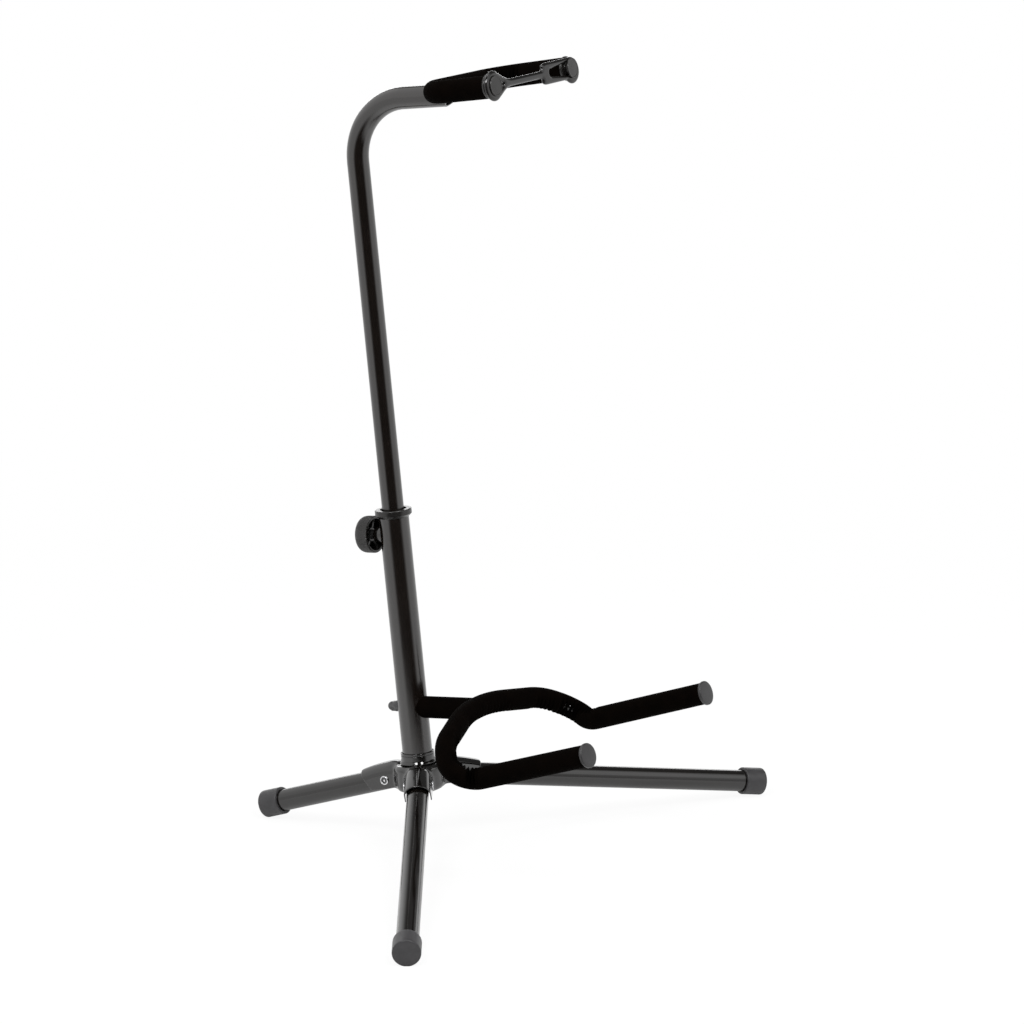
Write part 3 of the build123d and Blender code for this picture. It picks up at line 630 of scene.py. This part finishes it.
def makeStrap():
    # a soft moulded strap, full in the middle of its width and thin at every edge
    size = strap
    left, right = (yokeArmPoint(side, size["setback"]) for side in (-1, 1))
    half = (right.x - left.x) / 2
    cell = size["cell"]
    wide = np.arange(-half - size["ringRadius"] - 2, half + size["ringRadius"] + 3, cell)
    tall = np.arange(-size["ringRadius"] - 3, size["ringRadius"] + 3, cell)
    deep = np.arange(-size["thickness"] / 2 - 1.5, size["thickness"] / 2 + 1.5, cell)
    x, y = np.meshgrid(wide, tall, indexing="ij")
    flat = np.maximum(1 + flatDistance(x, y, strapOutlines(half)) / size["edge"], 0)
    field = np.hypot(flat[:, :, None], deep[None, None, :] / (size["thickness"] / 2)) - 1
    mesh = fieldMesh("neckStrap", field * size["thickness"] / 2, cell, (wide[0], tall[0], deep[0]))
    piece = newPiece("neckStrap", mesh, materials["strapRubber"])
    softened(piece, 2)
    rise = math.radians(yoke["rise"])
    out = Vector((0, -math.cos(rise), math.sin(rise)))
    centre = (left + right) / 2
    across = (right - left - Vector((0, 0, yokeCap["lift"]))).normalized()
    centre.z += yokeCap["lift"] / 2
    turn = Matrix((across, out.cross(across), out)).transposed().to_4x4()
    settle(piece, mast @ Matrix.Translation(centre) @ turn, "upper", "strap_rubber", "neck_strap")


makeStrap()
print("strap done")

# ---- clamp knob ----
knob = dict(
    height=208.8, mouth=20.3, back=33.3, radius=16.0, cupRadius=13.6, backWall=3.0, edge=6.0,
    hubRadius=6.0, hubRecess=4.0, boreRadius=4.0, boreEnd=31.8, lip=0.5,
    flutes=64, fluteDepth=0.42, fluteStart=14.7, fluteRise=0.4, crown=0.35,
    ribs=6, ribInner=2.2, ribOuter=3.4, ribRecess=5.0, ribBevel=0.3, ribOverlap=0.3,
)


def flutingTree():
    # cuts shallow flutes round the outside of a turned piece
    tree, given = newTree("fluteRim", {
        "Count": "Int", "Depth": "Float", "From Radius": "Float", "Material": "Material",
    })
    position = addNode(tree, "GeometryNodeInputPosition").outputs[0]
    place = addNode(tree, "ShaderNodeSeparateXYZ", {"Vector": position}).outputs
    flat = addNode(tree, "ShaderNodeCombineXYZ", {"X": place["X"], "Y": place["Y"]}).outputs[0]
    radius = vectorMath(tree, "LENGTH", flat)
    turn = mathNode(tree, "ARCTAN2", place["Y"], place["X"])
    wave = mathNode(tree, "COSINE", mathNode(tree, "MULTIPLY", turn, given["Count"]))
    groove = mathNode(tree, "MULTIPLY_ADD", wave, 0.5, 0.5)
    rim = addNode(tree, "ShaderNodeMapRange", {
        "Value": radius, "From Min": given["From Radius"],
        "From Max": mathNode(tree, "ADD", given["From Radius"], knob["fluteRise"]),
    }).outputs["Result"]
    depth = mathNode(tree, "MULTIPLY", mathNode(tree, "MULTIPLY", groove, rim), given["Depth"])
    inward = vectorMath(tree, "SCALE", vectorMath(tree, "NORMALIZE", flat),
                        scale=mathNode(tree, "MULTIPLY", depth, -1.0))
    shaped = addNode(tree, "GeometryNodeSetPosition", {"Geometry": given["Geometry"], "Offset": inward})
    endTree(tree, shaped.outputs[0], given["Material"])
    return tree


def ringTree():
    # repeats a piece evenly about Z
    tree, given = newTree("repeatAround", {"Count": "Int", "Material": "Material"})
    points = addNode(tree, "GeometryNodePoints", {"Count": given["Count"], "Position": (0, 0, 0)})
    step = mathNode(tree, "DIVIDE", math.tau, given["Count"])
    index = addNode(tree, "GeometryNodeInputIndex").outputs[0]
    turn = addNode(tree, "ShaderNodeCombineXYZ", {"Z": mathNode(tree, "MULTIPLY", index, step)})
    copies = addNode(tree, "GeometryNodeInstanceOnPoints", {
        "Points": points.outputs[0], "Instance": given["Geometry"], "Rotation": turn.outputs[0],
    })
    endTree(tree, copies.outputs[0], given["Material"])
    return tree


def knobPlace():
    # Z out of the back of the mast
    turn = Matrix((Vector((1, 0, 0)), Vector((0, 0, -1)), Vector((0, 1, 0)))).transposed().to_4x4()
    return mast @ Matrix.Translation((0, 0, knob["height"])) @ turn


def makeKnob():
    size = knob
    cupFloor = size["back"] - size["backWall"]
    hubTop = size["mouth"] + size["hubRecess"]
    outline = rounded([
        (0.0, size["back"] - size["crown"], 0),
        (0.0, size["boreEnd"], 0),
        (size["boreRadius"], size["boreEnd"], 0),
        (size["boreRadius"], hubTop, 0.4),
        (size["hubRadius"], hubTop, 0.5),
        (size["hubRadius"], cupFloor, 0.6),
        (size["cupRadius"], cupFloor, 0.8),
        (size["cupRadius"], size["mouth"], size["lip"]),
        (size["radius"], size["mouth"], size["lip"] * 1.4),
        (size["radius"], size["back"], size["edge"] * 1.2),
        (size["radius"] * 0.5, size["back"] - 0.1, 0.6),
    ], steps=8)
    piece = newPiece("clampKnob", turnedMesh("clampKnob", outline, segments=size["flutes"] * 8, steps=2.0))
    runTree(piece, flutingTree(), {
        "Count": size["flutes"], "Depth": size["fluteDepth"],
        "From Radius": size["fluteStart"], "Material": materials["mouldedPlastic"],
    })
    shadeSoft(piece.data, 40)
    settle(piece, knobPlace(), "knob", "black_plastic", "clamp_knob")


def makeKnobRibs():
    # tapered webs between the knob's hub and its rim
    size = knob
    near = size["hubRadius"] - size["ribOverlap"]
    far = size["cupRadius"] + size["ribOverlap"]
    low = size["mouth"] + size["ribRecess"]
    high = size["back"] - size["backWall"] + size["ribOverlap"]
    rib = bmesh.new()
    for x, half in ((near, size["ribInner"] / 2), (far, size["ribOuter"] / 2)):
        for y in (-half, half):
            for z in (low, high):
                rib.verts.new((x, y, z))
    bmesh.ops.convex_hull(rib, input=rib.verts)
    bmesh.ops.bevel(rib, geom=rib.edges[:], offset=size["ribBevel"], segments=2, affect="EDGES")
    bmesh.ops.recalc_face_normals(rib, faces=rib.faces)
    mesh = bpy.data.meshes.new("clampKnobRibs")
    rib.to_mesh(mesh)
    rib.free()
    piece = newPiece("clampKnobRibs", mesh)
    runTree(piece, ringTree(), {"Count": size["ribs"], "Material": materials["mouldedPlastic"]})
    shadeSoft(piece.data, 40)
    settle(piece, knobPlace(), "knob", "black_plastic")


makeKnob()
makeKnobRibs()
print("clamp knob done")

# ---- hub ----
hubForm = dict(
    cell=0.6, reach=64.0, low=-20.0, high=20.0,
    bossRadius=21.5, bossTop=7.5, bossBottom=-16.8, bossEdge=4.5,
    skirtRadius=16.2, skirtLean=1.35, skirtEdge=3.0,
    crestTop=14.5, crestAt=27.0, crestFall=0.017, endTop=12.0, channelHalf=11.7, channelRound=11.3,
    channelLength=58.5, sideDepth=9.8, endDepth=5.8, endLean=0.52, endHigh=15.45,
    cavityHalf=10.6, cavityTop=10.9, cavityRound=10.2, cavityStart=17.5, cavityEdge=1.0,
    boreRadius=13.05,
    valley=3.2, ringBlend=2.0, edge=0.45, ringRadius=13.9, ringTop=9.4,
)
legAzimuths = {"rear": 90.0, "left": 210.0, "right": 330.0}
legDecline = math.radians(12.3)


def join(first, second, blend):
    # two distance fields as one body, with a fillet where they meet
    inner = np.hypot(np.maximum(blend - first, 0), np.maximum(blend - second, 0))
    return np.maximum(blend, np.minimum(first, second)) - inner


def keepWithin(first, second, edge):
    # what lies in both, with the edge between them rounded
    outer = np.hypot(np.maximum(edge + first, 0), np.maximum(edge + second, 0))
    return np.minimum(-edge, np.maximum(first, second)) + outer


def archField(across, above, half, corner):
    # section with a rounded roof, open below
    side = np.abs(across) - (half - corner)
    roof = above + corner
    return np.hypot(np.maximum(side, 0), np.maximum(roof, 0)) + np.minimum(np.maximum(side, roof), 0) - corner


def legFrame(x, y, z, azimuth):
    # distances along a leg, across it and square to it
    out = x * math.cos(azimuth) + y * math.sin(azimuth)
    across = y * math.cos(azimuth) - x * math.sin(azimuth)
    along = out * math.cos(legDecline) - z * math.sin(legDecline)
    above = z * math.cos(legDecline) + out * math.sin(legDecline)
    return out, across, along, above


def hubField(x, y, z):
    # distance to the hub's skin, with the channels hollowed and the bore cut
    size = hubForm
    away = np.hypot(x, y)
    boss = keepWithin(away - size["bossRadius"], z - size["bossTop"], size["bossEdge"])
    boss = keepWithin(boss, size["bossBottom"] - z, size["edge"])
    skirt = away - size["skirtRadius"] - (z - size["bossBottom"]) * size["skirtLean"]
    body = keepWithin(boss, skirt / math.hypot(1, size["skirtLean"]), size["skirtEdge"])
    ring = np.maximum(away - size["ringRadius"], z - size["ringTop"])
    body = join(body, ring, size["ringBlend"])
    cavity = np.full_like(x, 1e3)
    for azimuth in legAzimuths.values():
        out, across, along, above = legFrame(x, y, z, math.radians(azimuth))
        sag = (size["crestTop"] - size["endTop"]) / (size["channelLength"] - size["crestAt"]) ** 2
        sag = np.where(along < size["crestAt"], size["crestFall"], sag)
        top = size["crestTop"] - sag * (along - size["crestAt"]) ** 2
        roof = archField(across, above - top, size["channelHalf"], size["channelRound"])
        slope = (size["sideDepth"] - size["endDepth"]) / size["channelLength"]
        floorLine = slope * along - size["sideDepth"] - above
        lean = math.hypot(1, size["endLean"])
        end = (along - size["channelLength"] - size["endLean"] * (above - size["endHigh"])) / lean
        channel = keepWithin(keepWithin(roof, floorLine, size["edge"]), end, size["edge"])
        channel = np.maximum(channel, -along)
        body = join(body, channel, size["valley"])
        room = archField(across, above - size["cavityTop"], size["cavityHalf"], size["cavityRound"])
        cavity = np.minimum(cavity, keepWithin(room, size["cavityStart"] - out, size["cavityEdge"]))
    body = keepWithin(body, size["bossBottom"] - z, size["edge"])
    body = keepWithin(body, -cavity, size["edge"])
    return keepWithin(body, size["boreRadius"] - away, size["edge"])


def makeHub():
    # the cast hub: a round boss and three arched channels, melted together
    size = hubForm
    cell = size["cell"]
    wide = np.arange(-size["reach"], size["reach"], cell)
    tall = np.arange(size["low"], size["high"], cell)
    x, y, z = np.meshgrid(wide, wide, tall, indexing="ij")
    mesh = fieldMesh("hubCasting", hubField(x, y, z), cell, (wide[0], wide[0], tall[0]))
    piece = newPiece("hubCasting", mesh, materials["hubEnamel"])
    softened(piece, 3)
    settle(piece, mast, "base", "gloss_black_steel", "hub")


hubRing = dict(
    bore=13.06, mouth=13.5, radius=14.6, bottom=7.0, neckRadius=14.0, skirtBottom=8.5, skirtRadius=15.9,
    skirtTop=11.35, grooveAt=15.6, grooveDepth=0.3, grooveWidth=0.5, top=18.0, lip=0.55,
)


def makeHubRing():
    # the hub's collar: a plain band with a flared foot, and a fine groove near its top
    size = hubRing
    radius = size["radius"]
    outline = rounded([
        (size["bore"], size["bottom"], 0),
        (size["neckRadius"], size["bottom"], 0.5),
        (size["neckRadius"], size["skirtBottom"], 0.4),
        (size["skirtRadius"] - 0.1, size["skirtBottom"], 0.4),
        (size["skirtRadius"], size["skirtBottom"] + 0.6, 0.3),
        (radius, size["skirtTop"], 0.4),
        (radius, size["grooveAt"], 0.15),
        (radius - size["grooveDepth"], size["grooveAt"] + 0.15, 0.1),
        (radius - size["grooveDepth"], size["grooveAt"] + size["grooveWidth"], 0.1),
        (radius, size["grooveAt"] + size["grooveWidth"] + 0.15, 0.15),
        (radius, size["top"], size["lip"]),
        (size["mouth"], size["top"], 0.3),
        (size["bore"], size["top"] - 1.2, 0.2),
    ], steps=7)
    piece = newPiece("hubRing", turnedMesh("hubRing", outline, segments=160), materials["hubEnamel"])
    shadeSoft(piece.data)
    settle(piece, mast, "base", "gloss_black_steel")


makeHub()
makeHubRing()
print("hub done")

# ---- pivot rivets ----
rivet = dict(
    pivot=30.0, seat=11.7, radius=4.0, rimRadius=0.6, height=1.15, eyeRadius=1.0, floor=0.25,
    sunk=0.6, lapOver=0.2, dishEdge=0.3, dishSlope=0.8, eyeSide=0.7, eyeTop=1.0,
)


def seatTree():
    # sets a piece on every point of the seats, with its Z along their way out
    tree, given = newTree("setOnSeats", {"Seats": "Object", "Material": "Material"})
    seats = addNode(tree, "GeometryNodeObjectInfo", {"Object": given["Seats"]})
    points = addNode(tree, "GeometryNodeMeshToPoints", {"Mesh": seats.outputs["Geometry"]})
    way = addNode(tree, "GeometryNodeInputNamedAttribute", {"Name": "way"}, data_type="FLOAT_VECTOR")
    turn = addNode(tree, "FunctionNodeAlignRotationToVector", {"Vector": way.outputs[0]}, axis="Z")
    copies = addNode(tree, "GeometryNodeInstanceOnPoints", {
        "Points": points.outputs[0], "Instance": given["Geometry"], "Rotation": turn.outputs[0],
    })
    endTree(tree, copies.outputs[0], given["Material"])
    return tree


def rivetSeats():
    # both ends of each pivot, in metres
    places, ways = [], []
    for name in legAzimuths:
        place = legPlace(name)
        for side in (-1, 1):
            places.append(place @ Vector((rivet["pivot"], side * rivet["seat"], 0)))
            ways.append((place.to_3x3() @ Vector((0, side, 0))).normalized())
    mesh = bpy.data.meshes.new("rivetSeats")
    mesh.from_pydata(places, [], [])
    way = mesh.attributes.new("way", "FLOAT_VECTOR", "POINT")
    for item, value in zip(way.data, ways):
        item.vector = value
    return newPiece("rivetSeats", mesh)


def makeRivets():
    # a bright rolled rim round a dark dished face, with a small steel dome in the middle made bright as a painted
    # highlight of the glint there
    size = rivet
    rim = size["radius"] - size["rimRadius"]
    roll = arcPoints(rim, size["rimRadius"], 0, 360, 14)[:-1]
    rimOutline = [Vector((point.x, point.y + size["height"] - size["rimRadius"])) for point in roll]
    dish = rounded([
        (0.0, -size["sunk"], 0),
        (rim + size["lapOver"], -size["sunk"], 0),
        (rim + size["lapOver"], size["height"] * 0.6, 0.1),
        (rim - size["dishEdge"], size["height"] * 0.6, 0.2),
        (rim - size["dishEdge"] - size["dishSlope"], size["floor"], 0.4),
        (0.0, size["floor"], 0),
    ])
    # the bright steel eye stands for the glint on the rivet's centre: a painted highlight
    eye = rounded([
        (0.0, 0.0, 0),
        (size["eyeRadius"], 0.0, 0),
        (size["eyeRadius"], size["eyeSide"], 0.5),
        (0.0, size["eyeTop"], 0),
    ])
    seats = rivetSeats()
    tree = seatTree()
    for name, outline, finish in (("rivetRims", rimOutline, "bareSteel"), ("rivetDishes", dish, "blackZinc"),
                                  ("rivetEyes", eye, "bareSteel")):
        piece = newPiece(name, turnedMesh(name, outline, segments=40))
        piece.data.transform(millimetre)
        runTree(piece, tree, {"Seats": seats, "Material": materials[finish]})
        shadeSoft(piece.data, 50)
        replaced = ["leg_rivets"] if name == "rivetDishes" else []
        settle(piece, Matrix(), "base", "rivet_steel", *replaced)
    bpy.data.objects.remove(seats)


makeRivets()
print("rivets done")

# ---- feet ----
foot = dict(radius=12.0, boreRadius=9.5, length=20.0, endThickness=3.0, edge=1.6, mouthEdge=0.7)
legLengths = {"rear": 170.375, "left": 344.3, "right": 344.3}


def makeFeet():
    size = foot
    for name, reach in legLengths.items():
        mouth = reach - size["length"]
        outline = rounded([
            (0.0, reach, 0),
            (0.0, reach - size["endThickness"], 0),
            (size["boreRadius"], reach - size["endThickness"], 0),
            (size["boreRadius"], mouth, size["mouthEdge"]),
            (size["radius"], mouth, size["mouthEdge"]),
            (size["radius"], reach, size["edge"]),
        ])
        piece = newPiece(name + "Foot", turnedMesh(name + "Foot", outline, steps=2.5),
                         materials["footRubber"])
        outward = Matrix(((0, 0, 1), (0, 1, 0), (-1, 0, 0))).to_4x4()
        piece.data.transform(legPlace(name) @ outward)
        for vertex in piece.data.vertices:  # the sole is worn flat on the floor
            vertex.co.z = max(vertex.co.z, 0.0)
        shadeSoft(piece.data, 40)
        settle(piece, Matrix(), name + "_leg", "foot_rubber", name + "_foot")


makeFeet()
print("feet done")

# ---- floor, light and camera ----
studio = dict(
    floorSize=40.0, floorPale=(0.9, 0.9, 0.9), paperShare=0.08, paperFade=(0.64, 1.6),
    mirrorShare=0.75, mirrorFade=(0.32, 0.96),
    darkWay=(-0.777, -0.629, 0.0), darkEdge=(0.50, 0.83), darkLevel=0.03,
    backWay=(0.995, 0.10, 0.0), backEdge=(0.57, 0.80), backRise=(0.15, 0.38), backLevel=0.12,
    skyForDiffuse=0.52,
)


def smoothBetween(tree, value, edges, low, high):
    return addNode(tree, "ShaderNodeMapRange", {
        "Value": value, "From Min": edges[0], "From Max": edges[1], "To Min": low, "To Max": high,
    }, interpolation_type="SMOOTHSTEP").outputs["Result"]


def facing(tree, direction, way):
    # how much a direction or place lies towards one side of the room, from -1 to 1
    flat = vectorMath(tree, "NORMALIZE", vectorMath(tree, "MULTIPLY", direction, (1, 1, 0)))
    return vectorMath(tree, "DOT_PRODUCT", flat, Vector(way).normalized())


def makeWorld():
    # white all round, with the unlit sides of the room where no lamp stands
    world = bpy.data.worlds.new("studio")
    bpy.context.scene.world = world
    world.use_nodes = True
    tree = world.node_tree
    tree.nodes.clear()
    direction = addNode(tree, "ShaderNodeTexCoord").outputs["Generated"]
    rays = addNode(tree, "ShaderNodeLightPath").outputs
    toward = facing(tree, direction, studio["darkWay"])
    front = smoothBetween(tree, toward, studio["darkEdge"], 1.0, studio["darkLevel"])
    height = addNode(tree, "ShaderNodeSeparateXYZ", {"Vector": direction}).outputs["Z"]
    behind = smoothBetween(tree, facing(tree, direction, studio["backWay"]), studio["backEdge"], 0.0, 1.0)
    above = smoothBetween(tree, height, studio["backRise"], 0.0, 1.0)
    unlit = mathNode(tree, "MULTIPLY", mathNode(tree, "MULTIPLY", behind, above), 1 - studio["backLevel"])
    room = mathNode(tree, "MULTIPLY", front, mathNode(tree, "SUBTRACT", 1.0, unlit))
    seen = mathNode(tree, "MAXIMUM", rays["Is Camera Ray"], rays["Is Transmission Ray"])
    shown = mathNode(tree, "MAXIMUM", seen, mathNode(tree, "MULTIPLY", rays["Is Glossy Ray"], room))
    soft = mathNode(tree, "MULTIPLY", rays["Is Diffuse Ray"], studio["skyForDiffuse"])
    strength = mathNode(tree, "MAXIMUM", shown, soft)
    back = addNode(tree, "ShaderNodeBackground", {"Color": (1, 1, 1, 1), "Strength": strength})
    addNode(tree, "ShaderNodeOutputWorld", {"Surface": back.outputs[0]})


def makeFloor():
    # pale paper that shows white, with the object's soft shadow near it; in reflections its glow carries painted
    # shade on the camera side, like the room's unlit side
    size = studio["floorSize"] / 2
    mesh = bpy.data.meshes.new("floor")
    mesh.from_pydata([(-size, -size, 0), (size, -size, 0), (size, size, 0), (-size, size, 0)], [],
                     [(0, 1, 2, 3)])
    material = bpy.data.materials.new("paleFloor")
    material.use_nodes = True
    tree = material.node_tree
    tree.nodes.clear()
    rays = addNode(tree, "ShaderNodeLightPath").outputs
    place = addNode(tree, "ShaderNodeTexCoord").outputs["Object"]
    # painted shade: the floor's glow, as seen in reflections, falls off towards the camera side
    toward = facing(tree, place, studio["darkWay"])
    front = smoothBetween(tree, toward, studio["darkEdge"], 1.0, studio["darkLevel"])
    away = vectorMath(tree, "LENGTH", place)
    paper = smoothBetween(tree, away, studio["paperFade"], studio["paperShare"], 0.0)
    seen = mathNode(tree, "MAXIMUM", rays["Is Camera Ray"], rays["Is Transmission Ray"])
    mirrored = rays["Is Glossy Ray"]
    inMirror = smoothBetween(tree, away, studio["mirrorFade"], studio["mirrorShare"], 0.0)
    toEye = mathNode(tree, "MULTIPLY", seen, mathNode(tree, "SUBTRACT", 1.0, paper))
    toGloss = mathNode(tree, "MULTIPLY", mirrored, mathNode(tree, "SUBTRACT", 1.0, inMirror))
    share = mathNode(tree, "MAXIMUM", toEye, toGloss)
    strength = mathNode(tree, "MAXIMUM", seen, mathNode(tree, "MULTIPLY", mirrored, front))
    matt = addNode(tree, "ShaderNodeBsdfDiffuse", {"Color": (*studio["floorPale"], 1)})
    white = addNode(tree, "ShaderNodeEmission", {"Color": (1, 1, 1, 1), "Strength": strength})
    mix = addNode(tree, "ShaderNodeMixShader", {0: share, 1: matt.outputs[0], 2: white.outputs[0]})
    addNode(tree, "ShaderNodeOutputMaterial", {"Surface": mix.outputs[0]})
    floor = newPiece("floor", mesh, material)


lamps = {
    "leftBox": dict(place=(-1.15, 2.15, 2.0), aim=(0, 0, 0.5), size=(4.2, 2.4), radiance=0.15),
    "rightBox": dict(place=(0.30, -2.40, 2.0), aim=(0, 0, 0.5), size=(2.4, 1.8), radiance=0.5),
    "topBox": dict(place=(0.25, -0.05, 2.7), aim=(0, 0, 0), size=(1.2, 1.2), radiance=2.6),
    "leftSpark": dict(place=(-1.66, -0.05, 2.1), aim=(0, 0, 0.1), size=(0.95, 0.60), radiance=17.0),
    "rightSpark": dict(place=(-0.73, -1.50, 2.1), aim=(0, 0, 0.1), size=(0.95, 0.60), radiance=17.0),
    "backBox": dict(place=(2.2, 1.35, 0.80), aim=(0, 0, 0.3), size=(1.8, 0.4), radiance=3.0),
}


def makeLamps():
    for name, look in lamps.items():
        lamp = bpy.data.lights.new(name, "AREA")
        lamp.shape = "RECTANGLE"
        lamp.size, lamp.size_y = look["size"]
        lamp.energy = math.pi * look["radiance"] * lamp.size * lamp.size_y
        holder = newPiece(name, lamp)
        holder.location = look["place"]
        aim = Vector(look["aim"]) - holder.location
        holder.rotation_euler = aim.to_track_quat("-Z", "Y").to_euler()
        holder.visible_camera = False


view = dict(place=(-3.6997, -2.3595, 1.3430), way=(0.8262, 0.5135, -0.2312), lens=186.34, sensor=36.0)


def makeCamera():
    camera = bpy.data.cameras.new("camera")
    camera.sensor_width = view["sensor"]
    camera.lens = view["lens"]
    camera.clip_end = 100.0
    holder = bpy.data.objects.new("camera", camera)
    bpy.context.scene.collection.objects.link(holder)
    holder.location = view["place"]
    holder.rotation_euler = Vector(view["way"]).to_track_quat("-Z", "Y").to_euler()
    bpy.context.scene.camera = holder


makeWorld()
makeFloor()
makeLamps()
makeCamera()
bpy.context.scene.view_settings.view_transform = "Standard"
print("studio done")
